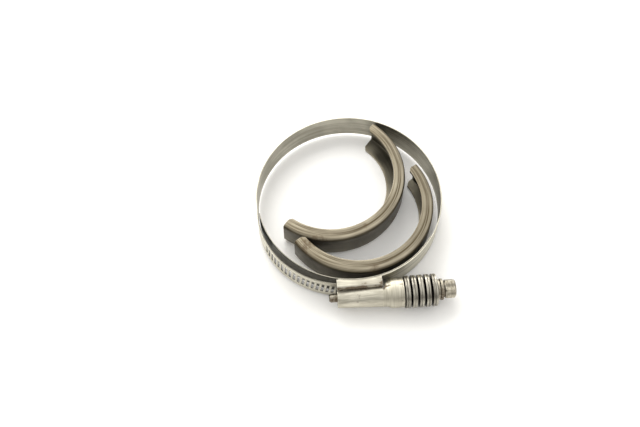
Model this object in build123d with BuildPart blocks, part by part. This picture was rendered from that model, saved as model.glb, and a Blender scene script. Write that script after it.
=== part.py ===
from build123d import *
import os
from math import asin, cos, degrees, hypot, radians, sin

# A worm-drive, constant-tension band clamp that lies flat, with the two loose V-channel half
# rings that it holds round a pipe joint stored inside its loop. Millimetres.
#
# Frame: the loop's axis is Z and its middle is at x = y = 0. The floor is z = 0. The screw lies
# along X in front of the loop, at -Y, with its hex head at +X.
#
# Turning the screw pulls the slotted tail of the strap to +X, so the left half of the loop swings
# about the far side of the loop, where the strap bends. The tail is an arc about that far point,
# so it slides along itself between the saddle and the screw.

# ---------------------------------------------------------------- driving dimensions
AXIS_Z = 9.3  # height of the band's middle and of the screw

BAND_WIDTH = 15.9
BAND_THICK = 0.6
RING_RADIUS = 52.0  # outside of the strap, with the clamp fully open
LINER_THICK = 0.5
LINER_GAP = 0.05
LINER_ARC = (188.0, 325.0)  # degrees, anticlockwise from +X
BOW_ARC = (50.0, 130.0)  # the stretch of strap that bends as the loop closes
BOW_GAP = 0.1

WORM_PITCH = 2.8
WORM_CREST = 4.5
WORM_ROOT = 3.4
WORM_X = (-8.6, 11.2)
STRAP_TO_AXIS = 3.7  # screw axis to the outside of the slotted tail
SHANK_RADIUS = 3.1
TIP_RADIUS = 2.35
TIP_X = -16.4

TAIL_END_X = 4.5
TAIL_TANGENT_X = -9.0  # where the tail's flat arc runs into the tighter arc of the left quarter
SLOT_LENGTH = 9.0
SLOT_WIDTH = 1.5
SLOT_SLANT = -6.0
SLOT_COUNT = 23

SHEET = 0.9  # saddle sheet
BASE_TO_TAIL = 0.45  # saddle base to the inside of the tail
HOUSING_X = (-12.0, 12.2)
HOOK_REACH = 1.3
FOOT_GAP = 0.35
FOOT_END_GAP = 0.3
BARREL_WALL = 0.8
BARREL_TIP_RADIUS = 5.6  # outside, at the screw's tip
BARREL_NECK_RADIUS = 6.9  # outside, at the saddle's other end
BELL_RADIUS = 8.0
BELL_X = (14.9, 23.0)
SHOULDER_X = 17.0
NOTCH_SLANT = 0.48  # how far the notch leans towards the bell, for each step towards the loop
HOLE_GAP = 0.2
SEAT_GAP = 0.05

SEAT_X = (17.5, 23.6)
SEAT_BORE = 3.2
WASHER_RADIUS = 8.8
WASHER_BORE = 3.5
WASHER_THICK = 1.25
WASHER_CONE = 0.58
WASHER_COUNT = 10

THRUST_THICK = 1.3
THRUST_RADIUS = 5.5
THRUST_GAP = 0.05
FLANGE_RADIUS = 5.8
FLANGE_END_X = 45.0
FLANGE_EDGE = 0.3
NECK_RADIUS = 4.35
HEX_X = (46.1, 51.7)
HEX_FLATS = 9.5
HEX_CHAMFER = 1.0
TIP_CHAMFER = 0.9
RIDGE_FOOT = 0.66  # half width of the thread's ridge, where it leaves the root
RIDGE_CREST = 0.32
RIDGE_TURNS = 6.5
RIDGE_SUNK = 0.2

SEGMENT_WEB = 42.6
SEGMENT_LIP = 36.0
UPPER_FOOT_LIP = 33.0  # the upper half ring's bottom lip reaches further in than its top lip
UPPER_FOOT_SLOPE = 5.3
SEGMENT_HEIGHT = 18.6
SEGMENT_SHEET = 1.6
SEGMENT_BEND = 1.1
FLANGE_SLOPE = 8.0
LIP_CLIP = 1.8
UPPER_CENTRE = (-9.2, 15.0)
UPPER_START = -132.5
LOWER_CENTRE = (4.0, -4.9)
LOWER_START = -149.5

# ---------------------------------------------------------------- worked out from them
BAND_BOTTOM = AXIS_Z - BAND_WIDTH / 2
RING_MID = RING_RADIUS - BAND_THICK / 2
BASE_OUTSIDE = RING_RADIUS + SHEET
TAIL_INSIDE_Y = -(BASE_OUTSIDE + BASE_TO_TAIL)
AXIS_Y = TAIL_INSIDE_Y - BAND_THICK - STRAP_TO_AXIS
TAIL_MID = RING_MID - TAIL_INSIDE_Y + BAND_THICK / 2  # radius of the tail about the far point
STACK_END_X = SEAT_X[1] + WASHER_COUNT * (WASHER_THICK + WASHER_CONE)
THRUST_END_X = STACK_END_X + THRUST_THICK
flange_x = THRUST_END_X + THRUST_GAP

tangent_turn = asin(-TAIL_TANGENT_X / TAIL_MID)
QUARTER_MID = (RING_MID + TAIL_TANGENT_X) / (1 - sin(tangent_turn))
QUARTER_CENTRE = (
    QUARTER_MID - RING_MID,
    RING_MID - (TAIL_MID - QUARTER_MID) * cos(tangent_turn),
)
screw_axis = Axis((0, AXIS_Y, AXIS_Z), (1, 0, 0))
screw_plane = Plane(origin=(0, AXIS_Y, AXIS_Z), x_dir=(1, 0, 0), z_dir=(0, -1, 0))

os.makedirs("parts", exist_ok=True)


def tail_place(distance):
    """The plane on the strap's mid-surface, a distance along it to +X from x = 0, facing out."""
    bend = TAIL_MID * tangent_turn
    if distance > -bend:
        turn = distance / TAIL_MID
        centre, radius = (0, RING_MID), TAIL_MID
    else:
        turn = -tangent_turn + (distance + bend) / QUARTER_MID
        centre, radius = QUARTER_CENTRE, QUARTER_MID
    outward = Vector(sin(turn), -cos(turn), 0)
    return Plane(origin=Vector(*centre, AXIS_Z) + outward * radius, x_dir=(0, 0, 1), z_dir=outward)


def save(part, name):
    part.label = name
    export_step(part, f"parts/{name}.step")


# ---------------------------------------------------------------- strap and liner
with BuildPart() as strap_fixed:
    covered = degrees(asin((-HOUSING_X[0] - 1) / RING_MID))
    with BuildSketch(Plane.XY.offset(BAND_BOTTOM)):
        with BuildLine():
            CenterArc((0, 0), RING_MID, -90 - covered, 90 + covered + BOW_ARC[0])
        trace(line_width=BAND_THICK)
    extrude(amount=BAND_WIDTH)
save(strap_fixed.part, "strap_fixed")

with BuildPart() as strap_bow:
    with BuildSketch(Plane.XY.offset(BAND_BOTTOM)):
        with BuildLine():
            bow_turn = BOW_ARC[1] - BOW_ARC[0] - degrees(BOW_GAP / RING_MID)
            CenterArc((0, 0), RING_MID, BOW_ARC[0], bow_turn)
        trace(line_width=BAND_THICK)
    extrude(amount=BAND_WIDTH)
save(strap_bow.part, "strap_bow")

with BuildPart() as strap_slotted:
    with BuildSketch(Plane.XY.offset(BAND_BOTTOM)):
        with BuildLine():
            tail_turn = degrees(tangent_turn)
            tail_start = degrees(asin(TAIL_END_X / TAIL_MID))
            CenterArc((0, 0), RING_MID, BOW_ARC[1], 180 - BOW_ARC[1])
            Line((-RING_MID, 0), (-RING_MID, QUARTER_CENTRE[1]))
            CenterArc(QUARTER_CENTRE, QUARTER_MID, 180, 90 - tail_turn)
            CenterArc((0, RING_MID), TAIL_MID, 270 - tail_turn, tail_turn + tail_start)
        trace(line_width=BAND_THICK)
    extrude(amount=BAND_WIDTH)
    # The slots lean with the worm's thread. The first is one pitch from the tail's end.
    slots = [tail_place(WORM_PITCH * (1 - number)) for number in range(SLOT_COUNT)]
    with BuildSketch(*slots):
        RectangleRounded(SLOT_LENGTH, SLOT_WIDTH, SLOT_WIDTH / 3, rotation=SLOT_SLANT)
    extrude(amount=2 * BAND_THICK, both=True, mode=Mode.SUBTRACT)
save(strap_slotted.part, "strap_slotted")

with BuildPart() as liner:
    with BuildSketch(Plane.XY.offset(BAND_BOTTOM)):
        with BuildLine():
            liner_mid = RING_RADIUS - BAND_THICK - LINER_GAP - LINER_THICK / 2
            CenterArc((0, 0), liner_mid, LINER_ARC[0], LINER_ARC[1] - LINER_ARC[0])
        trace(line_width=LINER_THICK)
    extrude(amount=BAND_WIDTH)
save(liner.part, "liner")

# ---------------------------------------------------------------- saddle
foot_y = TAIL_INSIDE_Y - BAND_THICK - FOOT_GAP  # inner face of the barrel's feet
hook_y = foot_y - BARREL_WALL - FOOT_GAP
saddle_y = hook_y - SHEET
housing_length = HOUSING_X[1] - HOUSING_X[0]
housing_middle = (HOUSING_X[1] + HOUSING_X[0]) / 2
CHANNEL_HEIGHT = 2 * AXIS_Z - 2 * SHEET

with BuildPart() as saddle:
    with BuildSketch(Plane.XY):
        with Locations((housing_middle, saddle_y)):
            Rectangle(housing_length, -saddle_y, align=(Align.CENTER, Align.MIN))
        Circle(RING_RADIUS, mode=Mode.SUBTRACT)
    extrude(amount=2 * AXIS_Z)
    # the channel that the tail slides in
    with BuildSketch(Plane.XY.offset(SHEET)):
        with Locations((housing_middle, hook_y)):
            Rectangle(housing_length, -hook_y, align=(Align.CENTER, Align.MIN))
        Circle(BASE_OUTSIDE, mode=Mode.SUBTRACT)
    extrude(amount=CHANNEL_HEIGHT, mode=Mode.SUBTRACT)
    # the mouth between the two hooks
    with BuildSketch(Plane.XY.offset(SHEET + HOOK_REACH)):
        with Locations((housing_middle, saddle_y)):
            Rectangle(housing_length, 2 * SHEET, align=(Align.CENTER, Align.MIN))
    extrude(amount=CHANNEL_HEIGHT - 2 * HOOK_REACH, mode=Mode.SUBTRACT)
    rims = saddle.edges().filter_by(Axis.X).group_by(Axis.Y)[0]
    fillet([edge for edge in rims if abs(edge.center().Z - AXIS_Z) > AXIS_Z - 0.01], SHEET * 0.8)
save(saddle.part, "saddle")

# ---------------------------------------------------------------- barrel
FOOT_TIP = CHANNEL_HEIGHT / 2 - FOOT_END_GAP
left_wall = HOUSING_X[0] + BARREL_WALL
right_wall = HOUSING_X[1] - BARREL_WALL


def barrel_outside(x):
    """The tapered barrel's outer radius at a place along the screw."""
    share = (x - HOUSING_X[0]) / housing_length
    return BARREL_TIP_RADIUS + share * (BARREL_NECK_RADIUS - BARREL_TIP_RADIUS)


def barrel_inside(x):
    return barrel_outside(x) - BARREL_WALL


with BuildPart() as barrel:
    # feet
    with BuildSketch(Plane.YZ.offset(HOUSING_X[0])):
        with Locations((foot_y, AXIS_Z)):
            Rectangle(BARREL_WALL, 2 * FOOT_TIP, align=(Align.MAX, Align.CENTER))
    extrude(amount=housing_length)
    # tapered barrel, shoulder and bell
    with BuildSketch(screw_plane):
        with BuildLine():
            Polyline(
                (HOUSING_X[0], 0),
                (HOUSING_X[0], BARREL_TIP_RADIUS),
                (BELL_X[0], barrel_outside(BELL_X[0])),
                (SHOULDER_X, BELL_RADIUS),
                (BELL_X[1], BELL_RADIUS),
                (BELL_X[1], 0),
                close=True,
            )
        make_face()
    revolve(axis=screw_axis)
    # the room inside, between and beyond the two walls that the screw turns in
    with BuildSketch(screw_plane):
        with BuildLine():
            Polyline(
                (HOUSING_X[0], 0),
                (HOUSING_X[0], TIP_RADIUS + HOLE_GAP),
                (left_wall, TIP_RADIUS + HOLE_GAP),
                (left_wall, barrel_inside(left_wall)),
                (right_wall, barrel_inside(right_wall)),
                (right_wall, SHANK_RADIUS + HOLE_GAP),
                (HOUSING_X[1], SHANK_RADIUS + HOLE_GAP),
                (HOUSING_X[1], barrel_inside(HOUSING_X[1])),
                (BELL_X[0], barrel_inside(BELL_X[0])),
                (SHOULDER_X + HOLE_GAP, BELL_RADIUS - BARREL_WALL),
                (BELL_X[1], BELL_RADIUS - BARREL_WALL),
                (BELL_X[1], 0),
                close=True,
            )
        make_face()
    revolve(axis=screw_axis, mode=Mode.SUBTRACT)
    # open towards the strap, with a slanted notch between the saddle and the bell
    with BuildSketch(Plane.XY):
        with BuildLine():
            Polyline(
                (HOUSING_X[0], foot_y),
                (HOUSING_X[1], foot_y),
                (HOUSING_X[1], AXIS_Y),
                (HOUSING_X[1] - NOTCH_SLANT * AXIS_Y, 0),
                (HOUSING_X[0], 0),
                close=True,
            )
        make_face()
    extrude(amount=2 * AXIS_Z, mode=Mode.SUBTRACT)
save(barrel.part, "barrel")

# ---------------------------------------------------------------- spring seat and washers
with BuildPart() as spring_seat:
    with BuildSketch(screw_plane):
        with BuildLine():
            seat_radius = BELL_RADIUS - BARREL_WALL - SEAT_GAP
            Polyline(
                (SEAT_X[0], SEAT_BORE),
                (SEAT_X[0], seat_radius),
                (BELL_X[1], seat_radius),
                (BELL_X[1], BELL_RADIUS),
                (SEAT_X[1], BELL_RADIUS),
                (SEAT_X[1], SEAT_BORE),
                close=True,
            )
        make_face()
    revolve(axis=screw_axis)
save(spring_seat.part, "spring_seat")

# Cone springs in series: each pair meets at the rims, and each pair meets the next at the bores.
washer_pitch = WASHER_THICK + WASHER_CONE
for number in range(WASHER_COUNT):
    left = SEAT_X[1] + number * washer_pitch
    bore_x, rim_x = (left, left + WASHER_CONE) if number % 2 == 0 else (left + WASHER_CONE, left)
    with BuildPart() as washer:
        with BuildSketch(screw_plane):
            with BuildLine():
                Polyline(
                    (bore_x, WASHER_BORE),
                    (rim_x, WASHER_RADIUS),
                    (rim_x + WASHER_THICK, WASHER_RADIUS),
                    (bore_x + WASHER_THICK, WASHER_BORE),
                    close=True,
                )
            make_face()
        revolve(axis=screw_axis)
    save(washer.part, f"belleville_{number + 1:02d}")

with BuildPart() as thrust_washer:
    with BuildSketch(Plane.YZ.offset(STACK_END_X)):
        with Locations((AXIS_Y, AXIS_Z)):
            Circle(THRUST_RADIUS)
            Circle(WASHER_BORE, mode=Mode.SUBTRACT)
    extrude(amount=THRUST_THICK)
    chamfer(thrust_washer.edges().filter_by(GeomType.CIRCLE).sort_by(SortBy.RADIUS)[-2:], FLANGE_EDGE)
save(thrust_washer.part, "thrust_washer")

# ---------------------------------------------------------------- worm screw
with BuildPart() as worm_screw:
    with BuildSketch(Plane.YZ.offset(HEX_X[0])):
        with Locations((AXIS_Y, AXIS_Z)):
            RegularPolygon(HEX_FLATS / 2, 6, major_radius=False)
    extrude(amount=HEX_X[1] - HEX_X[0])
    with BuildSketch(screw_plane):
        with BuildLine():
            corner = HEX_FLATS / 2 / cos(radians(30))
            Polyline(
                (HEX_X[0], 0),
                (HEX_X[0], corner),
                (HEX_X[1] - HEX_CHAMFER, corner),
                (HEX_X[1], HEX_FLATS / 2 - HEX_CHAMFER / 5),
                (HEX_X[1], 0),
                close=True,
            )
        make_face()
    revolve(axis=screw_axis, mode=Mode.INTERSECT)
    with BuildSketch(screw_plane):
        with BuildLine():
            Polyline(
                (TIP_X, 0),
                (TIP_X, TIP_RADIUS - TIP_CHAMFER),
                (TIP_X + TIP_CHAMFER, TIP_RADIUS),
                (WORM_X[0], TIP_RADIUS),
                (WORM_X[0], WORM_ROOT),
                (WORM_X[1], WORM_ROOT),
                (WORM_X[1], SHANK_RADIUS),
                (flange_x, SHANK_RADIUS),
                (flange_x, FLANGE_RADIUS - FLANGE_EDGE),
                (flange_x + FLANGE_EDGE, FLANGE_RADIUS),
                (FLANGE_END_X - FLANGE_EDGE, FLANGE_RADIUS),
                (FLANGE_END_X, FLANGE_RADIUS - FLANGE_EDGE),
                (FLANGE_END_X, NECK_RADIUS),
                (HEX_X[0] + HEX_CHAMFER, NECK_RADIUS),
                (HEX_X[0] + HEX_CHAMFER, 0),
                close=True,
            )
        make_face()
    revolve(axis=screw_axis)
    # The ridge crosses the strap's side of the screw at whole pitches from x = 0.
    ridge_start = -3 * WORM_PITCH + WORM_PITCH / 4
    with BuildLine():
        ridge_path = Helix(
            pitch=WORM_PITCH,
            height=RIDGE_TURNS * WORM_PITCH,
            radius=WORM_ROOT - RIDGE_SUNK,
            center=(ridge_start, AXIS_Y, AXIS_Z),
            direction=(1, 0, 0),
        )
    with BuildSketch(Plane(origin=ridge_path @ 0, x_dir=(1, 0, 0), z_dir=ridge_path % 0)):
        rise = WORM_CREST - WORM_ROOT + RIDGE_SUNK
        with BuildLine():
            Polyline((-RIDGE_FOOT, 0), (-RIDGE_CREST, rise), (RIDGE_CREST, rise), (RIDGE_FOOT, 0), close=True)
        make_face()
    sweep(is_frenet=True)
save(worm_screw.part, "worm_screw")

# ---------------------------------------------------------------- stored V-channel half rings
half_sheet = SEGMENT_SHEET / 2
lip_z = SEGMENT_HEIGHT / 2 - half_sheet * cos(radians(FLANGE_SLOPE))
web_mid = SEGMENT_WEB - half_sheet
LIP_SIDE = (SEGMENT_LIP + web_mid) / 2

for name, centre, start, foot_lip, foot_slope in (
    ("segment_upper", UPPER_CENTRE, UPPER_START, UPPER_FOOT_LIP, UPPER_FOOT_SLOPE),
    ("segment_lower", LOWER_CENTRE, LOWER_START, SEGMENT_LIP, FLANGE_SLOPE),
):
    foot_z = SEGMENT_HEIGHT / 2 - half_sheet * cos(radians(foot_slope))
    bend_z = lip_z - (web_mid - SEGMENT_LIP) * sin(radians(FLANGE_SLOPE)) / cos(radians(FLANGE_SLOPE))
    foot_bend_z = foot_z - (web_mid - foot_lip) * sin(radians(foot_slope)) / cos(radians(foot_slope))
    turn = radians(start)
    section_plane = Plane(
        origin=(centre[0], centre[1], SEGMENT_HEIGHT / 2),
        x_dir=(cos(turn), sin(turn), 0),
        z_dir=(sin(turn), -cos(turn), 0),
    )
    with BuildPart() as segment:
        with BuildSketch(section_plane):
            with BuildLine():
                FilletPolyline(
                    (SEGMENT_LIP, lip_z),
                    (web_mid, bend_z),
                    (web_mid, -foot_bend_z),
                    (foot_lip, -foot_z),
                    radius=SEGMENT_BEND,
                )
            trace(line_width=SEGMENT_SHEET)
        revolve(axis=Axis((centre[0], centre[1], 0), (0, 0, 1)), revolution_arc=180)
        # the four corners of the lips are clipped
        short = [edge for edge in segment.edges() if abs(edge.length - SEGMENT_SHEET) < 0.01]
        lips = [
            edge for edge in short
            if hypot(edge.center().X - centre[0], edge.center().Y - centre[1]) < LIP_SIDE
        ]
        chamfer(lips, LIP_CLIP)
    save(segment.part, name)
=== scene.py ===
"""A worm-drive band clamp with a cone-washer spring stack, lying flat, and the two loose V-channel
half rings kept inside its loop. Shapes are worked out in millimetres and stored in metres."""

from math import acos, asin, cos, pi, radians, sin, sqrt, tan

import bmesh
import bpy
import numpy as np
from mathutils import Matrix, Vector


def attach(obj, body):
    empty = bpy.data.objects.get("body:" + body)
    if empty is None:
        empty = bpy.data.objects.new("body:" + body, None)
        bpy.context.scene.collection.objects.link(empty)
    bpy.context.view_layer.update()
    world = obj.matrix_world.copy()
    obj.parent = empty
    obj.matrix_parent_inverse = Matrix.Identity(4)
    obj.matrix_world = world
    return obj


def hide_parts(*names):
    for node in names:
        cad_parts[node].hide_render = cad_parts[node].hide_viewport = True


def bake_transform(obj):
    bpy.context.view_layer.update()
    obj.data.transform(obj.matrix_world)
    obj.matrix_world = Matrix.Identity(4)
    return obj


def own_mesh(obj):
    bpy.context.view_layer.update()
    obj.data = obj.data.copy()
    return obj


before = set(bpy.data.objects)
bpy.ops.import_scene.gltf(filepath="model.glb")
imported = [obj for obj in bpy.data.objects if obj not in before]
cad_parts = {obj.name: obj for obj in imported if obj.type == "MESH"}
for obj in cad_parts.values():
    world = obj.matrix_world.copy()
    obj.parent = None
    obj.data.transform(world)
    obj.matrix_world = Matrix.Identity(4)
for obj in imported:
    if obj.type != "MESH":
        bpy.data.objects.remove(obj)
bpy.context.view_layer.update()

MM = 0.001
SIDEWAYS, AWAY, UP = np.eye(3)
MERGED = 0.002 * MM  # points closer than this become one
SHARP_ANGLE, BEVEL_ANGLE = radians(48), radians(55)
GRAIN_RADIUS = 8  # a turned piece's grain goes round it as on a circle of this radius

# ---------------------------------------------------------------- sizes, as the solid model has them
# LEFT, RIGHT and FACE are places along the screw. MID is a middle line's radius or its depth.
AXIS_Y, AXIS_Z = -57.65, 9.3
STRAP_WIDTH, STRAP_THICK, RING_MID = 15.9, 0.6, 51.7
STRAP_END = 11  # how far left of the saddle's middle the strap's fixed end lies
BOW_FROM, BOW_TO = 50, 130  # degrees round the loop
LINER_THICK, LINER_MID, LINER_FROM, LINER_TO = 0.5, 51.1, 188, 325
TAIL_MID, TAIL_TANGENT, TAIL_TIP = 105.35, -9.0, 4.5
SLOT_PITCH, SLOT_LONG, SLOT_WIDE, SLOT_CORNER, SLOT_LEAN, SLOTS = 2.8, 9.0, 1.5, 0.5, radians(6), 23
SHOE_SHEET, SHOE_MID, SHOE_BEND, HOOK_MID, HOOK_REACH = 0.9, 52.45, 0.72, -55.9, 1.3
HOUSING_LEFT, HOUSING_RIGHT = -12.0, 12.2
BARREL_WALL, BARREL_TIP, BARREL_NECK = 0.8, 5.2, 6.5
FEET_MID, FEET_TIP, FEET_BEND = -54.7, 8.1, 0.6
TIP_WALL, NECK_WALL = (2.55, 4.9), (3.3, 6.2)  # the radius of a wall's hole and of its rim
WALL_START, WALL_SWEEP = radians(58), radians(244)
BELL_LEFT, BELL_ROUND, BELL_RIGHT, BELL_MID, BELL_BEND = 14.9, 17.05, 23.0, 7.6, 1.4
NOTCH_SLANT, NOTCH_HALF = 0.48, 7.3
SEAT_LEFT, SEAT_RIM, SEAT_FACE, SEAT_BORE, SEAT_BUSH, SEAT_OUTER = 17.5, 22.95, 23.6, 3.2, 7.15, 8.0
WASHERS, WASHER_THICK, WASHER_CONE, WASHER_BORE, WASHER_OUTER = 10, 1.25, 0.58, 3.5, 8.8
THRUST_LEFT, THRUST_RIGHT, THRUST_OUTER = 41.9, 43.2, 5.5
FLANGE_LEFT, FLANGE_RIGHT, FLANGE_RADIUS, FLANGE_ROUND = 43.25, 45.0, 5.8, 0.35
SCREW_TIP, TIP_RADIUS, WORM_SHOULDER, NECK_RADIUS, HEAD_LEFT = -16.4, 2.35, -8.55, 4.35, 46.3
HEAD_HALF, WORM_CORE, WORM_CREST, WORM_LEFT, WORM_TURNS = 4.75, 3.2, 4.5, -7.7, 6.5
HALF_RING_HEIGHT, HALF_RING_SHEET, HALF_RING_OUTER, HALF_RING_BEND = 18.6, 1.6, 42.6, 1.1
HALF_RING_LIP, HALF_RING_SLOPE, HALF_RING_CLIP = 36.0, 8.0, 1.8
UPPER_CENTRE, UPPER_START, UPPER_FOOT_LIP, UPPER_FOOT_SLOPE = (-9.2, 15.0), -132.5, 33.0, 5.3
LOWER_CENTRE, LOWER_START = (4.0, -4.9), -149.5


# ---------------------------------------------------------------- lines and sections
def unit(vectors):
    """Each vector over its own length."""
    return vectors / np.linalg.norm(vectors, axis=-1, keepdims=True)


def eased(share):
    """Three times the square less twice the cube, held between 0 and 1."""
    share = np.clip(share, 0, 1)
    return share * share * (3 - 2 * share)


def crowded(first, last, count=7):
    """Points from first to last, crowded at both ends: the share is half of one less the cosine."""
    share = (1 - np.cos(np.linspace(0, pi, count))) / 2
    return first + (last - first) * share[:, None]


def bent_line(corners, radius, steps=7):
    """A run of straights whose inner corners are arcs. Each arc's middle lies on the corner's
    bisector, the radius over the cosine of half the turn away, so both straights touch it."""
    corners = np.array(corners, float)
    line, start = [corners[:1]], corners[0]
    for before, corner, after in zip(corners[:-2], corners[1:-1], corners[2:]):
        coming, going = unit(corner - before), unit(after - corner)
        half = acos(float(np.clip(coming @ going, -1, 1))) / 2
        inward, onward = unit(going - coming), unit(going + coming)
        swing = np.linspace(-half, half, steps)[:, None]
        middle = corner + inward * radius / cos(half)
        arc = middle + radius * (np.sin(swing) * onward - np.cos(swing) * inward)
        line += [crowded(start, arc[0])[1:], arc[1:]]
        start = arc[-1]
    return np.concatenate(line + [crowded(start, corners[-1])[1:]])


def sheet_section(middle, thick, edge=0.15):
    """The outline of a sheet seen end on: its middle line moved half a thickness to each side
    along the normal, joined round each free edge by two quarter circles."""
    onward = unit(np.gradient(middle, axis=-2))
    normal = np.stack([-onward[..., 1], onward[..., 0]], -1)
    swing = np.linspace(0, pi / 2, 4)[:, None]
    first, last = np.s_[..., :1, :], np.s_[..., -1:, :]
    sides = []
    for way in (1, -1):
        rise = way * (thick / 2 - edge + edge * np.sin(swing))
        reach = edge * (1 - np.cos(swing))
        head = middle[first] + onward[first] * reach + normal[first] * rise
        foot = middle[last] - onward[last] * reach + normal[last] * rise
        face = (middle + way * thick / 2 * normal)[..., 1:-1, :]
        sides.append(np.concatenate([head, face, foot[..., ::-1, :]], axis=-2))
    return np.concatenate([sides[0], sides[1][..., ::-1, :]], axis=-2)


def rounded_outline(corners, radius):
    """A closed outline with each corner an arc, starting and ending halfway along its first side."""
    corners = [np.array(c, float) for c in corners]
    middle = (corners[0] + corners[1]) / 2
    return bent_line([middle, *corners[1:], corners[0], middle], radius, 5)[:-1]


# ---------------------------------------------------------------- surfaces
def grid_faces(rows, columns, loop_rows=False, loop_columns=True, caps=False):
    """Quads of a grid stored row by row. Looped ways join the last line to the first, and a cap
    pairs the points of an end row from its two sides, so it closes a sheet's section."""
    index = np.arange(rows * columns).reshape(rows, columns)
    ends = []
    if caps:
        left = np.arange(columns // 2 - 1)
        cap = np.stack([left, left + 1, columns - 2 - left, columns - 1 - left], -1)
        ends = [cap, cap + (rows - 1) * columns]
    if loop_columns:
        index = np.hstack([index, index[:, :1]])
    if loop_rows:
        index = np.vstack([index, index[:1]])
    quads = np.stack([index[:-1, :-1], index[1:, :-1], index[1:, 1:], index[:-1, 1:]], -1)
    return np.concatenate([quads.reshape(-1, 4), *ends])


def carried(section, place, side, lift, along, caps=True, loop_columns=True):
    """A section carried along a path. A point is the path's place, plus the section's first
    number times the path's side way, plus its second times the lift way. The run attribute keeps
    the distance along, through and across, so that a finish follows the metal's length."""
    section = np.broadcast_to(section, (len(place), *section.shape[-2:]))
    points = place[:, None] + section[..., :1] * side[:, None] + section[..., 1:] * lift[:, None]
    along = np.broadcast_to(along[:, None], section.shape[:2])
    run = np.stack([along, section[..., 0], section[..., 1]], -1)
    faces = grid_faces(*points.shape[:2], loop_columns=loop_columns, caps=caps)
    return points.reshape(-1, 3), faces, run.reshape(-1, 3)


def turned(outline, steps=96, first=0.0, sweep=2 * pi, caps=False):
    """An outline of radius and place along the screw, turned about the screw's axis. A point's
    height over the axis is the radius times the sine, and its depth the radius times the cosine."""
    whole = sweep > 6.28
    angle = first + np.linspace(0, sweep, steps, endpoint=not whole)
    outline = np.broadcast_to(outline, (steps, *outline.shape[-2:]))
    radius, x = outline[..., 0], outline[..., 1]
    points = np.stack(
        [x, AXIS_Y + radius * np.cos(angle)[:, None], AXIS_Z + radius * np.sin(angle)[:, None]], -1
    )
    run = np.stack([np.broadcast_to(GRAIN_RADIUS * np.cos(angle)[:, None], x.shape), radius, x], -1)
    faces = grid_faces(*x.shape, loop_rows=whole, loop_columns=True, caps=caps)
    return points.reshape(-1, 3), faces, run.reshape(-1, 3)


def piece(name, body, finish, shells, replaces=(), soft_end=0.0, tarnish=None, grime=None, joined=None):
    """One mesh from closed shells, with doubled points merged and faces turned outwards. Its
    cut ends get a narrow bevel, and it takes the material slot that its finish is named for.
    Painted shade, grime with painted crease shade in it, and joined are shares from 0 to 1, worked out
    from each point and its run."""
    before = np.cumsum([0] + [len(points) for points, _, _ in shells])
    points = np.concatenate([s[0] for s in shells]) * MM
    faces = np.concatenate([s[1] + n for s, n in zip(shells, before)])
    mesh = bpy.data.meshes.new(name)
    mesh.from_pydata(points.tolist(), [], faces.tolist())
    run = mesh.attributes.new("run", "FLOAT_VECTOR", "POINT")
    runs = np.concatenate([s[2] for s in shells])
    run.data.foreach_set("vector", runs.astype(np.float32).ravel())
    for layer, worked_out in (("tarnish", tarnish), ("grime", grime), ("joined", joined)):
        if worked_out:
            held = np.clip(worked_out(points / MM, runs), 0, 1)
            share = mesh.attributes.new(layer, "FLOAT", "POINT")
            share.data.foreach_set("value", held.astype(np.float32))
    work = bmesh.new()
    work.from_mesh(mesh)
    bmesh.ops.remove_doubles(work, verts=work.verts, dist=MERGED)
    bmesh.ops.recalc_face_normals(work, faces=work.faces)
    work.to_mesh(mesh)
    work.free()
    mesh.shade_smooth()
    mesh.set_sharp_from_angle(angle=SHARP_ANGLE)
    made = bpy.data.objects.new(name, mesh)
    bpy.context.scene.collection.objects.link(made)
    mesh.materials.append(FINISHES[finish])
    if soft_end:
        bevel = made.modifiers.new("softened_ends", "BEVEL")
        bevel.width, bevel.segments = soft_end * MM, 2
        bevel.limit_method, bevel.angle_limit = "ANGLE", BEVEL_ANGLE
    if body:
        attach(made, body)
    if replaces:
        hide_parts(*([replaces] if isinstance(replaces, str) else replaces))
    return made


# ---------------------------------------------------------------- shader groups
class Wiring:
    """A node tree with short ways to add a node, and to join or set its sockets. A socket is
    named, or counted as i0, i1 and so on."""

    def __init__(self, tree):
        self.tree = tree

    def add(self, kind, settings=None, **sockets):
        node = self.tree.nodes.new(kind)
        for key, value in (settings or {}).items():
            setattr(node, key, value)
        for key, value in sockets.items():
            place = int(key[1:]) if key[0] == "i" and key[1:].isdigit() else key.replace("_", " ")
            self.put(node.inputs[place], value)
        return node

    def put(self, socket, value):
        if isinstance(value, bpy.types.NodeSocket):
            self.tree.links.new(value, socket)
        else:
            socket.default_value = value

    def sum(self, operation, first, second=0.0, third=0.0, held=False):
        settings = {"operation": operation, "use_clamp": held}
        return self.add("ShaderNodeMath", settings, i0=first, i1=second, i2=third).outputs[0]

    def spread(self, value, low, high, to_low=0.0, to_high=1.0):
        settings = {"interpolation_type": "SMOOTHSTEP"}
        node = self.add("ShaderNodeMapRange", settings, i0=value, i1=low, i2=high)
        node.inputs[3].default_value, node.inputs[4].default_value = to_low, to_high
        return node.outputs[0]

    def noise(self, vector, scale, detail=3.0, rough=0.55):
        return self.add(
            "ShaderNodeTexNoise", None, Vector=vector, Scale=scale, Detail=detail, Roughness=rough
        ).outputs[0]


def group(name, inputs, outputs, wire):
    """A shader group with named number inputs (and their starting values) and outputs."""
    tree = bpy.data.node_groups.new(name, "ShaderNodeTree")
    for socket, value in inputs.items():
        made = tree.interface.new_socket(socket, in_out="INPUT", socket_type="NodeSocketFloat")
        made.default_value = value
    for socket in outputs:
        tree.interface.new_socket(socket, in_out="OUTPUT", socket_type="NodeSocketFloat")
    wiring = Wiring(tree)
    given = tree.nodes.new("NodeGroupInput").outputs
    result = tree.nodes.new("NodeGroupOutput").inputs
    for socket, value in zip(result, wire(wiring, given)):
        wiring.put(socket, value)
    return tree


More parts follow.
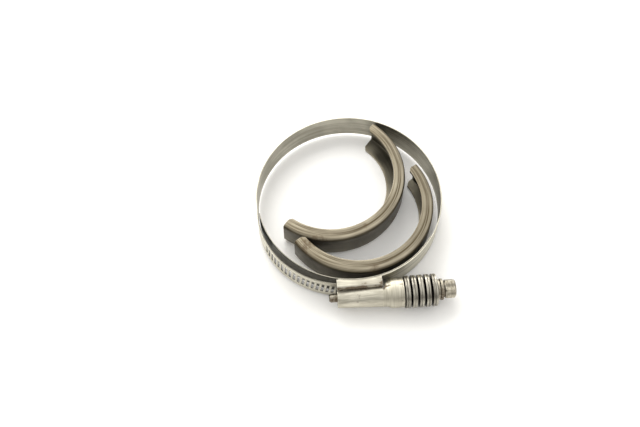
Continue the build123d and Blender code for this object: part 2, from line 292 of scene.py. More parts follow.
def wire_grain(w, given):
    """Rolling and brushing marks: noise stretched along the metal's length, coarse and fine."""
    run = w.add("ShaderNodeAttribute", {"attribute_name": "run"}).outputs["Vector"]
    found = []
    for along, across in ((1.0, 1.0), (0.35, 0.22)):
        stretch = w.add("ShaderNodeCombineXYZ")
        for socket, which, share in ((0, "Along", along), (1, "Across", across), (2, "Across", across)):
            w.put(stretch.inputs[socket], w.sum("MULTIPLY", given[which], share))
        pulled = w.add("ShaderNodeVectorMath", {"operation": "MULTIPLY"}, i0=run, i1=stretch.outputs[0])
        found.append(w.noise(pulled.outputs[0], 1.0, 4.0, 0.6))
    return [w.spread(found[0], 0.3, 0.7), w.spread(found[1], 0.34, 0.66)]


def wire_stain(w, given):
    """Brown stains: a slow noise decides where, a quicker one frays their borders."""
    place = w.add("ShaderNodeTexCoord").outputs["Object"]
    slow = w.noise(place, w.sum("MULTIPLY", given["Scale"], 1.0), 2.0)
    quick = w.noise(place, w.sum("MULTIPLY", given["Scale"], 5.3), 5.0, 0.65)
    both = w.sum("MULTIPLY_ADD", quick, 0.45, w.sum("MULTIPLY", slow, 0.75))
    # The grime attribute adds stain; along the housing's seam it also stands for painted crease shade.
    grime = w.add("ShaderNodeAttribute", {"attribute_name": "grime"}).outputs["Fac"]
    level = w.sum("SUBTRACT", 0.86, w.sum("MULTIPLY", given["Amount"], 0.36))
    level = w.sum("MULTIPLY_ADD", grime, -0.3, level)
    return [w.sum("DIVIDE", w.sum("SUBTRACT", both, level), 0.12, held=True)]


def wire_tarnish(w, given):
    """Painted shade, as much as the point's attribute gives, its border broken by a slow noise."""
    place = w.add("ShaderNodeTexCoord").outputs["Object"]
    where = w.add("ShaderNodeAttribute", {"attribute_name": "tarnish"}).outputs["Fac"]
    slow = w.noise(place, w.sum("MULTIPLY", given["Scale"], 1.0), 3.0)
    return [w.sum("MULTIPLY", where, w.sum("MULTIPLY_ADD", slow, 0.5, 0.7), held=True)]


def wire_rub(w, given):
    """Rubbed edges with a painted edge highlight: where the normal rounded over a small radius leaves
    the true normal, apart from places where the joined attribute says that the metal carries on."""
    rounded = w.add("ShaderNodeBevel", {"samples": 4}, Radius=given["Radius"]).outputs[0]
    true = w.add("ShaderNodeNewGeometry").outputs["Normal"]
    product = w.add("ShaderNodeVectorMath", {"operation": "DOT_PRODUCT"}, i0=rounded, i1=true)
    joined = w.add("ShaderNodeAttribute", {"attribute_name": "joined"}).outputs["Fac"]
    free = w.sum("SUBTRACT", 1.0, joined)
    bent = w.spread(w.sum("SUBTRACT", 1.0, product.outputs["Value"]), 0.02, 0.22)
    return [w.sum("MULTIPLY", free, bent, held=True)]


def wire_handling(w, given):
    """Dull patches from handling, and thin scratches where a stretched noise passes its middle."""
    place = w.add("ShaderNodeTexCoord").outputs["Object"]
    dull = w.spread(w.noise(place, w.sum("MULTIPLY", given["Scale"], 1.0), 3.0), 0.38, 0.64)
    lines = []
    for turn, seed in ((0.5, 11.0), (-0.9, 37.0)):
        laid = w.add("ShaderNodeMapping", None, Vector=place)
        laid.inputs["Rotation"].default_value = (0.4, 0.2, turn)
        laid.inputs["Location"].default_value = (seed, 0.0, 0.0)
        laid.inputs["Scale"].default_value = (0.12, 1.6, 1.6)
        wave = w.noise(laid.outputs[0], w.sum("MULTIPLY", given["Scale"], 9.0), 1.0)
        near = w.sum("ABSOLUTE", w.sum("SUBTRACT", wave, 0.5))
        lines.append(w.spread(near, 0.0, 0.012, 1.0, 0.0))
    return [dull, w.sum("MULTIPLY", w.sum("MAXIMUM", lines[0], lines[1]), dull)]


GRAIN = group("rolled_grain", {"Along": 0.05, "Across": 3.0}, ("Fine", "Broad"), wire_grain)
STAIN = group("brown_stain", {"Scale": 90.0, "Amount": 0.3}, ("Mask",), wire_stain)
RUB = group("rubbed_edges_and_highlight", {"Radius": 0.0005}, ("Mask",), wire_rub)
TARNISH = group("painted_shade_group", {"Scale": 120.0}, ("Mask",), wire_tarnish)
HANDLING = group("handling_marks", {"Scale": 60.0}, ("Dull", "Scratch"), wire_handling)


STAIN_BROWN = (0.095, 0.055, 0.022)
GRAIN_DEPTH = 0.02


def steel(name, dark, light, rough, grain, stain, handling=60.0, contrast=1.0, dull=None):
    """A stainless finish: two steel tones mixed by the grain, with painted shade, stains, and rubbed
    edges with a painted highlight over them.
    Rough is the least roughness and what the grain adds, grain its scales along and across, stain the
    stains' scale and amount, and the last argument the painted shade's colour."""
    material = bpy.data.materials.new(name)
    material.use_nodes = True
    w = Wiring(material.node_tree)
    shader = material.node_tree.nodes["Principled BSDF"]
    shader.inputs["Metallic"].default_value = 1.0

    def placed(tree, **values):
        node = w.add("ShaderNodeGroup", {"node_tree": tree})
        for key, value in values.items():
            node.inputs[key].default_value = value
        return node.outputs

    lines = placed(GRAIN, Along=grain[0], Across=grain[1])
    spots = placed(STAIN, Scale=stain[0], Amount=stain[1])["Mask"]
    rubbed = placed(RUB, Radius=0.0004)["Mask"]
    marks = placed(HANDLING, Scale=handling)
    unbrushed = placed(TARNISH, Scale=handling * 2)["Mask"]

    def mixed(share, first, second):
        node = w.add("ShaderNodeMix", {"data_type": "RGBA"})
        w.put(node.inputs[0], share)
        for socket, value in ((6, first), (7, second)):
            w.put(node.inputs[socket], (*value, 1) if isinstance(value, tuple) else value)
        return node.outputs[2]

    tone = w.sum("MULTIPLY_ADD", lines["Fine"], 0.55, w.sum("MULTIPLY", lines["Broad"], 0.45))
    base = mixed(w.sum("MULTIPLY_ADD", tone, contrast, 0.5 - contrast / 2, held=True), dark, light)
    base = mixed(w.sum("MULTIPLY", marks["Dull"], 0.25), base, tuple(c * 0.7 for c in dark))
    # Painted shade: darkened towards the painted shade colour where the point's attribute says.
    base = mixed(unbrushed, base, dull or tuple(c * 0.3 for c in dark))
    base = mixed(w.sum("MULTIPLY", spots, 0.8), base, STAIN_BROWN)
    # Edges lightened: rubbed wear, and a painted highlight along the bends and rims.
    base = mixed(w.sum("MULTIPLY", rubbed, 0.6), base, tuple(min(1.0, c * 1.25) for c in light))
    w.put(shader.inputs["Base Color"], base)

    gloss = w.sum("MULTIPLY_ADD", lines["Fine"], rough[1], rough[0])
    gloss = w.sum("MULTIPLY_ADD", marks["Dull"], 0.12, gloss)
    gloss = w.sum("MULTIPLY_ADD", spots, 0.25, gloss)
    gloss = w.sum("MULTIPLY_ADD", rubbed, -0.1, gloss, held=True)
    w.put(shader.inputs["Roughness"], gloss)
    w.put(shader.inputs["Metallic"], w.sum("MULTIPLY_ADD", spots, -0.55, 1.0))

    height = w.sum("MULTIPLY_ADD", marks["Scratch"], -0.5, w.sum("MULTIPLY", lines["Fine"], 0.5))
    height = w.sum("MULTIPLY_ADD", lines["Broad"], 0.35, height)
    bump = w.add("ShaderNodeBump", None, Strength=0.6, Distance=GRAIN_DEPTH * MM, Height=height)
    w.put(shader.inputs["Normal"], bump.outputs[0])
    return material


FINISHES = {
    "band_steel": steel(
        "satin_band", (0.40, 0.375, 0.30), (0.78, 0.75, 0.645),
        rough=(0.32, 0.16), grain=(0.04, 2.6), stain=(70, 0.26), contrast=1.3,
    ),
    "liner_steel": steel(
        "plain_liner", (0.34, 0.32, 0.26), (0.62, 0.59, 0.50),
        rough=(0.30, 0.16), grain=(0.04, 3.2), stain=(80, 0.22), contrast=1.2,
    ),
    "housing_steel": steel(
        "pickled_housing", (0.46, 0.43, 0.345), (0.78, 0.745, 0.635),
        rough=(0.34, 0.12), grain=(0.10, 1.6), stain=(112, 0.38), handling=90.0, contrast=1.3,
    ),
    "spring_steel": steel(
        "spring_grey", (0.13, 0.12, 0.10), (0.58, 0.55, 0.47),
        rough=(0.20, 0.16), grain=(0.16, 2.6), stain=(160, 0.34), handling=110.0, contrast=1.5,
    ),
    "screw_steel": steel(
        "plated_screw", (0.30, 0.27, 0.21), (0.68, 0.635, 0.53),
        rough=(0.24, 0.14), grain=(0.12, 2.0), stain=(210, 0.42), handling=120.0, contrast=1.5,
    ),
    "segment_steel": steel(
        "pressed_channel", (0.115, 0.09, 0.055), (0.44, 0.395, 0.30),
        rough=(0.28, 0.16), grain=(0.03, 1.5), stain=(60, 0.40), handling=45.0, contrast=1.5,
        # the painted shade colour of the channel's inside and of the web's back
        dull=(0.088, 0.082, 0.064),
    ),
}

# ---------------------------------------------------------------- strap
slot_edge = 5.2  # half the height of the cell that holds one slot
slot_rows = slot_edge * np.array([-1, -0.945, -0.89, -0.5, 0, 0.5, 0.89, 0.945, 1])
strap_across = np.concatenate(
    [[-STRAP_WIDTH / 2, -7.4, -6.4], slot_rows, [6.4, 7.4, STRAP_WIDTH / 2]]
)
strap_middle = np.stack([np.zeros(len(strap_across)), strap_across], -1)
strap_section = sheet_section(strap_middle, STRAP_THICK, 0.2)
cell_stations = SLOT_PITCH / 2 * np.array([-1, -0.67, -0.34, 0.34, 0.67, 1])

# The tail's wide arc meets the tighter quarter at TAIL_TANGENT, so the quarter's middle is found
# from both arcs' shared tangent. Distances are counted from the saddle's middle.
tangent_turn = asin(-TAIL_TANGENT / TAIL_MID)
quarter_mid = (RING_MID + TAIL_TANGENT) / (1 - sin(tangent_turn))
quarter_x, quarter_y = quarter_mid - RING_MID, RING_MID - (TAIL_MID - quarter_mid) * cos(tangent_turn)
quarter_s = -TAIL_MID * tangent_turn
straight_s = quarter_s - quarter_mid * (pi / 2 - tangent_turn)
ring_s = straight_s + quarter_y
tail_grain = RING_MID * pi - ring_s  # added along the tail, so that its grain runs on from the bow's


def ring_way(angle):
    """Places on the loop's round part, and the way outwards: the cosine and sine of the angle."""
    outward = np.stack([np.cos(angle), np.sin(angle), 0 * angle], -1)
    return RING_MID * outward + AXIS_Z * UP, outward


def tail_way(s):
    """Places along the tail at a distance s from the saddle's middle, and the way outwards. It is
    a wide arc about the loop's far point, a tighter quarter, a short straight and the round part."""
    stretches = [s > quarter_s, s > straight_s, s >= ring_s]  # the first that holds is taken
    tight = -tangent_turn + (s - quarter_s) / quarter_mid
    round_part = -pi / 2 - (ring_s - s) / RING_MID
    turn = np.select(stretches, [s / TAIL_MID, tight, -pi / 2 + 0 * s], round_part)
    reach = np.select(stretches, [TAIL_MID, quarter_mid, RING_MID], RING_MID)
    middle_x = np.select(stretches[:2], [0, quarter_x], 0)
    middle_y = np.select(stretches, [RING_MID, quarter_y, ring_s - s], 0)
    outward = np.stack([np.sin(turn), -np.cos(turn), 0 * s], -1)
    middle = np.stack([middle_x, middle_y, AXIS_Z + 0 * s], -1)
    return middle + reach[:, None] * outward, outward


def laid_strap(angles):
    """The strap's section carried round part of the loop."""
    place, outward = ring_way(angles)
    lift = np.broadcast_to(UP, place.shape)
    return carried(strap_section, place, outward, lift, RING_MID * angles)


def laid_tail(s, section=strap_section, caps=True, loop=True):
    """The strap's section, or a part of it, carried along part of the tail."""
    place, outward = tail_way(s)
    lift = np.broadcast_to(UP, place.shape)
    return carried(section, place, outward, lift, s + tail_grain, caps, loop)


def slot_cells(centres):
    """Strap cells with one slot each. A ring of points on the cell's rectangle is drawn in to the
    slot's outline, which is the ring pulled inside the corner circles and pushed out by their
    radius, then leaned. Layers go over the outer face, round the punched edge, through and back."""
    steps, rows = cell_stations, slot_rows
    ring = np.concatenate(
        [
            np.stack([np.full(len(rows) - 1, steps[0]), rows[:-1]], -1),
            np.stack([steps[:-1], np.full(len(steps) - 1, rows[-1])], -1),
            np.stack([np.full(len(rows) - 1, steps[-1]), rows[:0:-1]], -1),
            np.stack([steps[:0:-1], np.full(len(steps) - 1, rows[0])], -1),
        ]
    )
    layers, depths = [ring], [STRAP_THICK / 2]
    edge_round = [(0.16, 0.3), (0.07, 0.28), (0.02, 0.22), (0, 0.12)]  # wider by, at a depth
    for margin, depth in edge_round + [(wider, -height) for wider, height in edge_round[::-1]]:
        half = np.array([SLOT_WIDE / 2, SLOT_LONG / 2]) + margin
        corner = SLOT_CORNER + margin
        wanted = ring / np.array([SLOT_PITCH / 2, slot_edge]) * half
        core = np.clip(wanted, corner - half, half - corner)
        edge = core + corner * unit(wanted - core)
        lean = np.array([[cos(SLOT_LEAN), -sin(SLOT_LEAN)], [sin(SLOT_LEAN), cos(SLOT_LEAN)]])
        layers.append(edge @ lean)
        depths.append(depth)
    layers.append(ring)
    depths.append(-STRAP_THICK / 2)
    flat = np.stack(layers)  # layer, point, (along, across)
    count, deep, around = len(centres), len(depths), len(ring)
    along = (centres[:, None, None] + flat[None, ..., 0]).ravel()
    across = np.broadcast_to(flat[None, ..., 1], (count, deep, around)).ravel()
    depth = np.broadcast_to(np.array(depths)[None, :, None], (count, deep, around)).ravel()
    place, outward = tail_way(along)
    points = place + depth[:, None] * outward + across[:, None] * UP
    one = grid_faces(deep, around)
    faces = (one[None] + (np.arange(count) * deep * around)[:, None, None]).reshape(-1, 4)
    return points, faces, np.stack([along + tail_grain, depth, across], -1)


slot_middles = SLOT_PITCH * (1.0 - np.arange(SLOTS))
slotted_end, slotted_start = slot_middles[0] + SLOT_PITCH / 2, slot_middles[-1] - SLOT_PITCH / 2
tail_root = ring_s - RING_MID * radians(BOW_FROM)
slotted_steps = np.unique(np.round(slot_middles[:, None] + cell_stations, 6))
slotted_steps = slotted_steps[np.r_[True, np.diff(slotted_steps) > 1e-3]]
upper_rim = strap_section[strap_section[:, 1] > slot_edge - 0.001]
lower_rim = np.roll(strap_section, len(strap_section) // 2, axis=0)
lower_rim = lower_rim[lower_rim[:, 1] < 0.001 - slot_edge]

tail_shells = [
    slot_cells(slot_middles),
    laid_tail(slotted_steps, upper_rim, False, False),
    laid_tail(slotted_steps, lower_rim, False, False),
]


def open_ended(shell, columns, keep_first):
    """A capped run of section with the cap taken off the end that meets the slotted stretch."""
    points, faces, run = shell
    cap = columns // 2 - 1
    last = len(faces) if keep_first else len(faces) - cap
    return points, np.delete(faces, slice(last - cap, last), axis=0), run


plain = np.linspace(tail_root, slotted_start, int((slotted_start - tail_root) / 1.3))
tail_shells.append(open_ended(laid_tail(plain), len(strap_section), True))
tip = np.array([slotted_end, TAIL_TIP])
tail_shells.append(open_ended(laid_tail(tip), len(strap_section), False))


def inner_face(deepest, share):
    """A share of painted shade on the face turned to the loop's middle, where the run's depth is low.
    A negative depth picks the face turned away."""
    return lambda points, run: share * eased(0.5 - run[:, 1] / (2 * deepest))


def near_seam(points, run):
    """1 where one stretch of the strap carries on into the next, fading 2 mm to each side."""
    seams = RING_MID * np.radians([BOW_FROM, BOW_TO])
    gap = np.abs(run[:, :1] - seams).min(axis=1)
    return eased(1.6 - gap / 1.5)


def tail_tarnish(points, run):
    """Painted shade on the tail's inner face, growing from 85 to 65 mm before the saddle's middle."""
    near_screw = eased((run[:, 0] - tail_grain + 85) / 20)
    return (0.3 + 0.65 * near_screw) * eased(1.1 - run[:, 1] / 0.26)


def tail_joined(points, run):
    """1 at the tail's root, and on the slotted stretch's faces between the two rims."""
    slotted = (run[:, 0] > tail_grain + slotted_start) & (np.abs(run[:, 2]) < slot_edge - 0.1)
    return near_seam(points, run) + (slotted & (run[:, 1] < 0.299))


run_from = -90 - np.degrees(asin(STRAP_END / RING_MID))
# Painted shade on the strap's face turned to the loop's middle, here and on the bend.
piece(
    "strap_run", "clamp_frame", "band_steel",
    [laid_strap(np.radians(np.linspace(run_from, BOW_FROM, 110)))], "strap_fixed",
    tarnish=inner_face(0.3, 0.3), joined=near_seam,
)
bend = piece(
    "strap_bend", None, "band_steel",
    [laid_strap(np.radians(np.linspace(BOW_FROM, BOW_TO, 61)))], "strap_bow",
    tarnish=inner_face(0.3, 0.3), joined=near_seam,
)
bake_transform(bend)
piece(
    "strap_tail", "strap_half", "band_steel", tail_shells, "strap_slotted",
    tarnish=tail_tarnish, joined=tail_joined,
)

liner_angles = np.radians(np.linspace(LINER_FROM, LINER_TO, 120))
liner_place, liner_out = ring_way(liner_angles)
liner_place = liner_place + (LINER_MID - RING_MID) * liner_out
# Painted shade on the liner's outer face, in the narrow gap behind the slotted tail.
liner = piece(
    "inner_liner", None, "liner_steel",
    [carried(
        sheet_section(strap_middle, LINER_THICK, 0.16), liner_place, liner_out,
        np.broadcast_to(UP, liner_place.shape), LINER_MID * liner_angles,
    )],
    "liner", tarnish=inner_face(-0.25, 0.9),
)
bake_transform(liner)

# ---------------------------------------------------------------- saddle
def shoe_section(base):
    """The folded channel: hook, side, base, side, hook, with the base at the depth given."""
    low, tip = SHOE_SHEET / 2, SHOE_SHEET + HOOK_REACH
    half = [(HOOK_MID, tip), (HOOK_MID, low), (base, low)]
    mirrored = [(depth, 2 * AXIS_Z - height) for depth, height in half[::-1]]
    return sheet_section(bent_line(half + mirrored, SHOE_BEND), SHOE_SHEET, 0.22)


def seam_grime(points, run):
    """Grime with painted crease shade along the seam between hooks and barrel, thickest at the notch,
    and a slanted grime streak beside it. Each is a bell curve of the distance from its line."""
    seam = np.exp(-(((points[:, 1] + 56.2) / 0.6) ** 2)) * (0.75 + 0.2 * np.sin(points[:, 0] * 0.9))
    notch = np.exp(-(((points[:, 0] - 12.4) / 1.6) ** 2) - ((points[:, 1] + 56.4) / 2.2) ** 2)
    streak = np.exp(-(((points[:, 1] + 54.4 + 0.03 * points[:, 0]) / 0.45) ** 2))
    return seam + 1.4 * notch + streak * (0.4 + 0.12 * np.sin(points[:, 0] * 0.7))


def shadowed_channel(points, run):
    """Darkened 0.4 all over, and painted shade inside the folded channel, between the outer skins of
    its two sides.
    """
    inside = eased((8.6 - np.abs(points[:, 2] - AXIS_Z)) / 0.3) * eased((points[:, 1] + 56.25) / 0.2)
    return 0.4 + 0.5 * inside


def along_housing(count):
    """Stations along the screw over the housing's length, crowded at both ends."""
    return crowded(np.array([HOUSING_LEFT]), np.array([HOUSING_RIGHT]), count)[:, 0]


def straight(sections, x, middle=0):
    """Sections carried straight along the screw, each standing upright at its own station."""
    ways = [np.broadcast_to(way, (len(x), 3)) for way in (AWAY, UP)]
    return carried(sections, x[:, None] * SIDEWAYS + middle, *ways, x)


def between(share, first, last):
    """Outlines between two: a share of the last, and what is left of the first."""
    share = share[:, None, None]
    return (1 - share) * first + share * last


# The base follows the loop's round: its depth is the root of the radius squared less x squared.
shoe_x = along_housing(31)
nearest_base = -51.0
back_share = (np.sqrt(SHOE_MID**2 - shoe_x**2) - SHOE_MID) / (-nearest_base - SHOE_MID)
shoe = between(back_share, shoe_section(-SHOE_MID), shoe_section(nearest_base))
piece(
    "saddle_shoe", "clamp_frame", "housing_steel", [straight(shoe, shoe_x)], "saddle",
    soft_end=0.14, tarnish=shadowed_channel, grime=seam_grime,
)

# ---------------------------------------------------------------- barrel
def tunnel_middle(radius):
    """The tunnel's middle line from the lower foot's tip to the upper one's: straight, a small
    arc and the round back, then their mirror image. The small arc touches the foot's line and
    the round back, so its middle lies the two radii's sum from the back's."""
    depth = FEET_MID - FEET_BEND - AXIS_Y
    drop = sqrt((radius + FEET_BEND) ** 2 - depth**2)
    join = acos(depth / (radius + FEET_BEND))
    foot = crowded(np.array([FEET_MID - AXIS_Y, -FEET_TIP]), np.array([FEET_MID - AXIS_Y, -drop]), 5)
    swing = np.linspace(0, pi - join, 8)[:, None]
    corner = np.array([depth, -drop]) + FEET_BEND * np.hstack([np.cos(swing), np.sin(swing)])
    swing = np.linspace(-join, -pi, 26)[:, None]
    back = radius * np.hstack([np.cos(swing), np.sin(swing)])
    lower = np.concatenate([foot, corner[1:], back[1:]])
    return np.concatenate([lower, (lower * (1, -1))[-2::-1]])


tunnel_x = along_housing(25)
taper = (tunnel_x - HOUSING_LEFT) / (HOUSING_RIGHT - HOUSING_LEFT)
tunnel_line = between(taper, tunnel_middle(BARREL_TIP), tunnel_middle(BARREL_NECK))
tunnel = straight(
    sheet_section(tunnel_line, BARREL_WALL, 0.2), tunnel_x, np.array([0, AXIS_Y, AXIS_Z])
)


def wall(left, right, hole, rim):
    """A plate inside the barrel, which the screw passes: a ring open on the strap's side."""
    outline = rounded_outline([(hole, left), (hole, right), (rim, right), (rim, left)], 0.12)
    return turned(np.roll(outline, 3, axis=0), 60, WALL_START, WALL_SWEEP, caps=True)


# The bell starts as a half neck beside a slanted notch, so its left edge moves with the angle.
bell_angle = np.linspace(0, 2 * pi, 120, endpoint=False)
neck_slope = (BARREL_NECK - BARREL_TIP) / (HOUSING_RIGHT - HOUSING_LEFT)
neck_end = BARREL_NECK + (BELL_LEFT - HOUSING_RIGHT) * neck_slope
shoulder = bent_line(
    [(BARREL_NECK, HOUSING_RIGHT), (neck_end, BELL_LEFT), (BELL_MID, BELL_ROUND),
     (BELL_MID, BELL_RIGHT)],
    BELL_BEND,
)
bell_left = HOUSING_RIGHT + NOTCH_SLANT * NOTCH_HALF * np.clip(np.cos(bell_angle), 0, 1)
bell_x = bell_left[:, None] + np.linspace(0, 1, 30) * (BELL_RIGHT - bell_left[:, None])
bell_middle = np.stack([np.interp(bell_x, shoulder[:, 1], shoulder[:, 0]), bell_x], -1)


def tunnel_tarnish(points, run):
    """Painted shade on the side turned to the strap, as far as the bell."""
    return 0.9 * eased((points[:, 1] + 55.8) / 0.8) * (points[:, 0] < HOUSING_RIGHT + 0.1)


piece(
    "housing_barrel", "clamp_frame", "housing_steel",
    [
        tunnel,
        wall(HOUSING_LEFT, HOUSING_LEFT + BARREL_WALL, *TIP_WALL),
        wall(HOUSING_RIGHT - BARREL_WALL, HOUSING_RIGHT, *NECK_WALL),
        turned(sheet_section(bell_middle, BARREL_WALL, 0.2), 120),
    ],
    "barrel", tarnish=tunnel_tarnish, grime=seam_grime,
)

# ---------------------------------------------------------------- spring stack
piece(
    "seat_cup", "clamp_frame", "housing_steel",
    [turned(rounded_outline(
        [(SEAT_BORE, SEAT_LEFT), (SEAT_BUSH, SEAT_LEFT), (SEAT_BUSH, SEAT_RIM), (SEAT_OUTER, SEAT_RIM),
         (SEAT_OUTER, SEAT_FACE), (SEAT_BORE, SEAT_FACE)], 0.22,
    ))],
    "spring_seat",
)


def cone_tarnish(points, run):
    """Painted shade all over a cone washer but for its rim, so that the gaps between washers look dark.
    """
    return eased((8.55 - run[:, 1]) / 0.7)


for number in range(WASHERS):
    left = SEAT_FACE + number * (WASHER_THICK + WASHER_CONE)
    bore, rim = (left, left + WASHER_CONE) if number % 2 == 0 else (left + WASHER_CONE, left)
    outline = rounded_outline(
        [(WASHER_BORE, bore), (WASHER_OUTER, rim), (WASHER_OUTER, rim + WASHER_THICK),
         (WASHER_BORE, bore + WASHER_THICK)], 0.28,
    )
    washer = piece(
        f"cone_washer_{number + 1:02d}", "clamp_frame", "spring_steel", [turned(outline)],
        f"belleville_{number + 1:02d}", tarnish=cone_tarnish,
    )
    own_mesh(washer)


def screw_tarnish(points, run):
    """Painted shade at the flange's and the thrust ring's faces, in the neck and at the tip's end."""
    x = points[:, 0]
    faces = np.exp(-(((x - 43.22) / 0.22) ** 2)) + np.exp(-(((x - 45.4) / 0.5) ** 2))
    tip = 0.35 * (x < HOUSING_LEFT) + 0.6 * eased((-15.6 - x) / 0.5)
    return 0.9 * faces + tip + eased((5.0 - run[:, 1]) / 0.4) * (run[:, 2] > 41)


def screw_grime(points, run):
    """Brown on the lower, outer side of the flange and ring, and a little at the tip."""
    low = eased((AXIS_Y + 1.0 - points[:, 1]) / 4.0)
    return 0.5 * low * eased((46.0 - points[:, 0]) / 0.6)


piece(
    "thrust_ring", "pressure_washer", "screw_steel",
    [turned(rounded_outline(
        [(WASHER_BORE, THRUST_LEFT), (THRUST_OUTER, THRUST_LEFT), (THRUST_OUTER, THRUST_RIGHT),
         (WASHER_BORE, THRUST_RIGHT)], 0.3,
    ))],
    "thrust_washer", tarnish=screw_tarnish, grime=screw_grime,
)


# ---------------------------------------------------------------- screw
def about_screw(radius, angle, x):
    """Points at a radius and an angle about the screw's axis, and their run: round, out, along."""
    x = x + 0 * radius
    points = np.stack([x, AXIS_Y + radius * np.cos(angle), AXIS_Z + radius * np.sin(angle)], -1)
    run = np.stack([GRAIN_RADIUS * np.cos(angle) + 0 * x, radius, x], -1)
    return points.reshape(-1, 3), run.reshape(-1, 3)


def hex_head():
    """The six-sided head. A side's distance is its half width over the cosine of the angle from
    its middle, held under a rounded corner and under the cone that trims the end."""
    steps = np.array([0, 1.2, 3, 8, 15, 22.5, 30, 37.5, 45, 52, 57, 58.8])
    angle = (np.arange(6)[:, None] * 60 + steps).ravel()
    side = HEAD_HALF / np.cos(np.radians((angle % 60) - 30))
    x, cone = np.transpose([  # the place along the screw, and the radius that it allows
        (46.1, 0), (46.12, 5.1), (46.35, 5.46), (47.5, 5.46), (49.5, 5.46), (50.5, 5.46),
        (50.7, 5.42), (50.9, 5.24), (51.1, 5.04), (51.3, 4.84), (51.45, 4.68), (51.58, 4.54),
        (51.66, 4.4), (51.7, 4.25), (51.7, 3.6), (51.7, 1.8), (51.7, 0),
    ])
    radius = np.minimum(side[:, None], cone)
    points, run = about_screw(radius, np.radians(angle)[:, None], x)
    return points, grid_faces(*radius.shape, loop_rows=True, loop_columns=False), run


def worm_ridge():
    """The thread: a tapered ridge that moves a pitch along the screw for each turn round it. It
    rises from the core at its start and sinks back at its end."""
    turn = np.linspace(0, 2 * pi * WORM_TURNS, 420)
    rise = eased(turn / 1.2) * eased((turn[-1] - turn) / 1.2)
    flank = np.array([(WORM_CORE, 0.66), (3.9, 0.46), (4.42, 0.34), (WORM_CREST, 0.26)])
    flank = np.concatenate([flank * (1, -1), flank[::-1]])
    radius = WORM_CORE + (flank[:, 0] - WORM_CORE) * (0.1 + 0.9 * rise[:, None])
    x = WORM_LEFT + SLOT_PITCH * turn[:, None] / (2 * pi) + flank[:, 1]
    points, run = about_screw(radius, (turn + pi / 2)[:, None], x)
    return points, grid_faces(*x.shape, caps=True), run


# From the axis: the tip's journal, the worm's core, the shank, the flange and the neck.
screw_line = bent_line(
    [(0, SCREW_TIP), (1.75, SCREW_TIP), (TIP_RADIUS, SCREW_TIP + 0.9),
     (TIP_RADIUS, WORM_SHOULDER - 0.05), (3.4, WORM_SHOULDER), (3.4, 11.2), (3.1, 11.3),
     (3.1, FLANGE_LEFT),
     (FLANGE_RADIUS - FLANGE_ROUND, FLANGE_LEFT), (FLANGE_RADIUS, FLANGE_LEFT + FLANGE_ROUND),
     (FLANGE_RADIUS, FLANGE_RIGHT - FLANGE_ROUND), (FLANGE_RADIUS - FLANGE_ROUND, FLANGE_RIGHT),
     (NECK_RADIUS, FLANGE_RIGHT), (NECK_RADIUS, HEAD_LEFT), (0, HEAD_LEFT)],
    0.02, 3,
)
shank_points, _, shank_run = turned(screw_line)
shank = (shank_points, grid_faces(96, len(screw_line), loop_rows=True, loop_columns=False), shank_run)
piece(
    "drive_screw", "screw", "screw_steel", [shank, hex_head(), worm_ridge()], "worm_screw",
    tarnish=screw_tarnish, grime=screw_grime,
)


# ---------------------------------------------------------------- half rings
def channel_tarnish(points, run):
    """Painted shade on the channel's inside, where a point lies within its outer skin, and on the web's
    back.
    """
    inside = eased((7.9 - np.abs(run[:, 2])) / 0.35) * eased((41.9 - run[:, 1]) / 0.3)
    back = eased((run[:, 1] - 42.0) / 0.35) * eased((7.7 - np.abs(run[:, 2])) / 1.1)
    return 0.92 * inside + 0.8 * back


def half_ring(name, body, centre, start, node, foot_lip=HALF_RING_LIP, foot_slope=HALF_RING_SLOPE):
    """A pressed channel carried round half a turn. Its lips are cut back at both ends by what
    is left of the clip at each radius, and the rest of the half turn is shared out evenly."""
    web = HALF_RING_OUTER - HALF_RING_SHEET / 2

    def side(lip, slope):
        """Half heights of a sloped side's middle line at its lip and at the web."""
        slope = radians(slope)
        at_lip = HALF_RING_HEIGHT / 2 - HALF_RING_SHEET / 2 * cos(slope)
        return at_lip, at_lip - (web - lip) * tan(slope)

    top, top_web = side(HALF_RING_LIP, HALF_RING_SLOPE)
    foot, foot_web = side(foot_lip, foot_slope)
    corners = [(HALF_RING_LIP, top), (web, top_web), (web, -foot_web), (foot_lip, -foot)]
    section = sheet_section(bent_line(corners, HALF_RING_BEND, 9), HALF_RING_SHEET, 0.3)
    share = crowded(np.array([0.0]), np.array([1.0]), 97)[:, 0]
    radius, height = section[:, 0], section[:, 1]
    lip = np.where(height < 0, foot_lip, HALF_RING_LIP)
    back = np.clip(lip + HALF_RING_CLIP - radius, 0, HALF_RING_CLIP) / radius
    turn = radians(start) + back + share[:, None] * (pi - 2 * back)
    x, y = centre[0] + radius * np.cos(turn), centre[1] + radius * np.sin(turn)
    points = np.stack([x, y, AXIS_Z + height + 0 * turn], -1)
    run = np.stack([web * turn, radius + 0 * turn, height + 0 * turn], -1)
    shell = (points.reshape(-1, 3), grid_faces(*turn.shape, caps=True), run.reshape(-1, 3))
    return piece(name, body, "segment_steel", [shell], node, soft_end=0.18, tarnish=channel_tarnish)


half_ring(
    "half_ring_upper", "upper_half_ring", UPPER_CENTRE, UPPER_START, "segment_upper",
    UPPER_FOOT_LIP, UPPER_FOOT_SLOPE,
)
half_ring("half_ring_lower", "lower_half_ring", LOWER_CENTRE, LOWER_START, "segment_lower")

# ---------------------------------------------------------------- floor, light and camera
FLOOR_HALF, FLOOR_DROP = 12, 5e-5  # metres
WARM_LIGHT, PALE_LIGHT = (1.0, 0.985, 0.95), (1.0, 0.99, 0.97)


def tinted(wiring, share, first, second):
    """A colour mixed from two by a share."""
    mix = wiring.add("ShaderNodeMix", {"data_type": "RGBA"})
    wiring.put(mix.inputs[0], share)
    mix.inputs[6].default_value, mix.inputs[7].default_value = (*first, 1), (*second, 1)
    return mix.outputs[2]


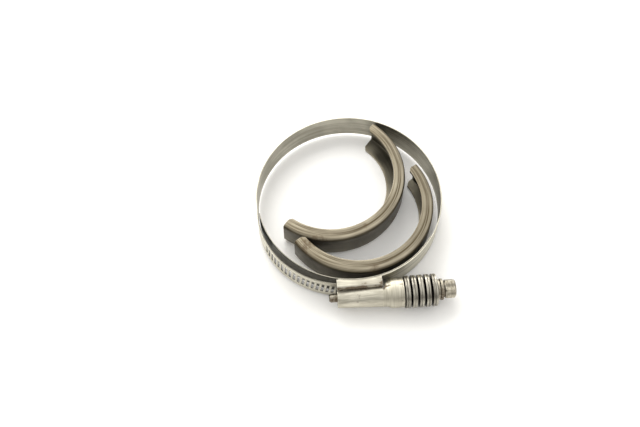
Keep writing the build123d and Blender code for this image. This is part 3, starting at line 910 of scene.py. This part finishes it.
paper = bpy.data.materials.new("pale_floor")
paper.use_nodes = True
pw = Wiring(paper.node_tree)
cloth = pw.noise(pw.add("ShaderNodeTexCoord").outputs["Object"], 220.0, 4.0)
sheet = paper.node_tree.nodes["Principled BSDF"]
pw.put(sheet.inputs["Base Color"], tinted(pw, cloth, (0.90, 0.895, 0.88), (0.93, 0.925, 0.915)))
sheet.inputs["Roughness"].default_value = 0.9
sheet.inputs["Emission Color"].default_value = (*PALE_LIGHT, 1)
sheet.inputs["Emission Strength"].default_value = 0.08
weave = pw.add("ShaderNodeBump", None, Strength=0.1, Distance=0.0002, Height=cloth)
pw.put(sheet.inputs["Normal"], weave.outputs[0])

floor_mesh = bpy.data.meshes.new("floor")
floor_corners = [
    (x * FLOOR_HALF, y * FLOOR_HALF, -FLOOR_DROP) for x, y in ((-1, -1), (1, -1), (1, 1), (-1, 1))
]
floor_mesh.from_pydata(floor_corners, [], [(0, 1, 2, 3)])
floor_mesh.materials.append(paper)
floor = bpy.data.objects.new("floor", floor_mesh)
bpy.context.scene.collection.objects.link(floor)


def panel(name, place, size, power, colour):
    """A soft rectangular light at a place, facing the middle of the scene."""
    lamp = bpy.data.lights.new(name, "AREA")
    lamp.shape, lamp.size, lamp.size_y = "RECTANGLE", *size
    lamp.energy, lamp.color = power, colour
    holder = bpy.data.objects.new(name, lamp)
    holder.location = place
    holder.rotation_mode = "QUATERNION"
    holder.rotation_quaternion = (-Vector(place)).to_track_quat("-Z", "Y")
    bpy.context.scene.collection.objects.link(holder)


panel("key_panel", (-0.20, 0.60, 0.75), (0.7, 0.5), 4.5, WARM_LIGHT)
panel("far_panel", (-0.10, 0.95, 0.33), (0.8, 0.35), 4.0, WARM_LIGHT)
panel("side_panel", (-0.75, 0.30, 0.60), (0.5, 0.5), 1.5, PALE_LIGHT)

world = bpy.data.worlds.new("white_studio")
bpy.context.scene.world = world
world.use_nodes = True
ww = Wiring(world.node_tree)
sky = ww.add("ShaderNodeSeparateXYZ", None, i0=ww.add("ShaderNodeTexCoord").outputs["Generated"])
bright = ww.spread(ww.sum("MULTIPLY_ADD", sky.outputs["Y"], 0.6, sky.outputs["Z"]), -0.45, 0.85)
back_node = world.node_tree.nodes["Background"]
ww.put(back_node.inputs["Color"], tinted(ww, bright, (0.26, 0.25, 0.235), (1.14, 1.13, 1.10)))
back_node.inputs["Strength"].default_value = 1.0
bpy.context.scene.view_settings.view_transform = "Standard"

camera = bpy.data.cameras.new("camera")
camera.lens, camera.sensor_width = 48.375, 36.0
camera.clip_start, camera.clip_end = 0.01, 20.0
holder = bpy.data.objects.new("camera", camera)
bpy.context.scene.collection.objects.link(holder)
bpy.context.scene.camera = holder
azimuth, elevation, distance = radians(-5.0), radians(62.31), 0.494
looked_at = np.array([-0.01644, -0.00190, 0.00135])
back_way = np.array([sin(azimuth) * cos(elevation), -cos(azimuth) * cos(elevation), sin(elevation)])
holder.location = looked_at + distance * back_way
holder.rotation_euler = (pi / 2 - elevation, 0.0, azimuth)

bpy.context.view_layer.update()
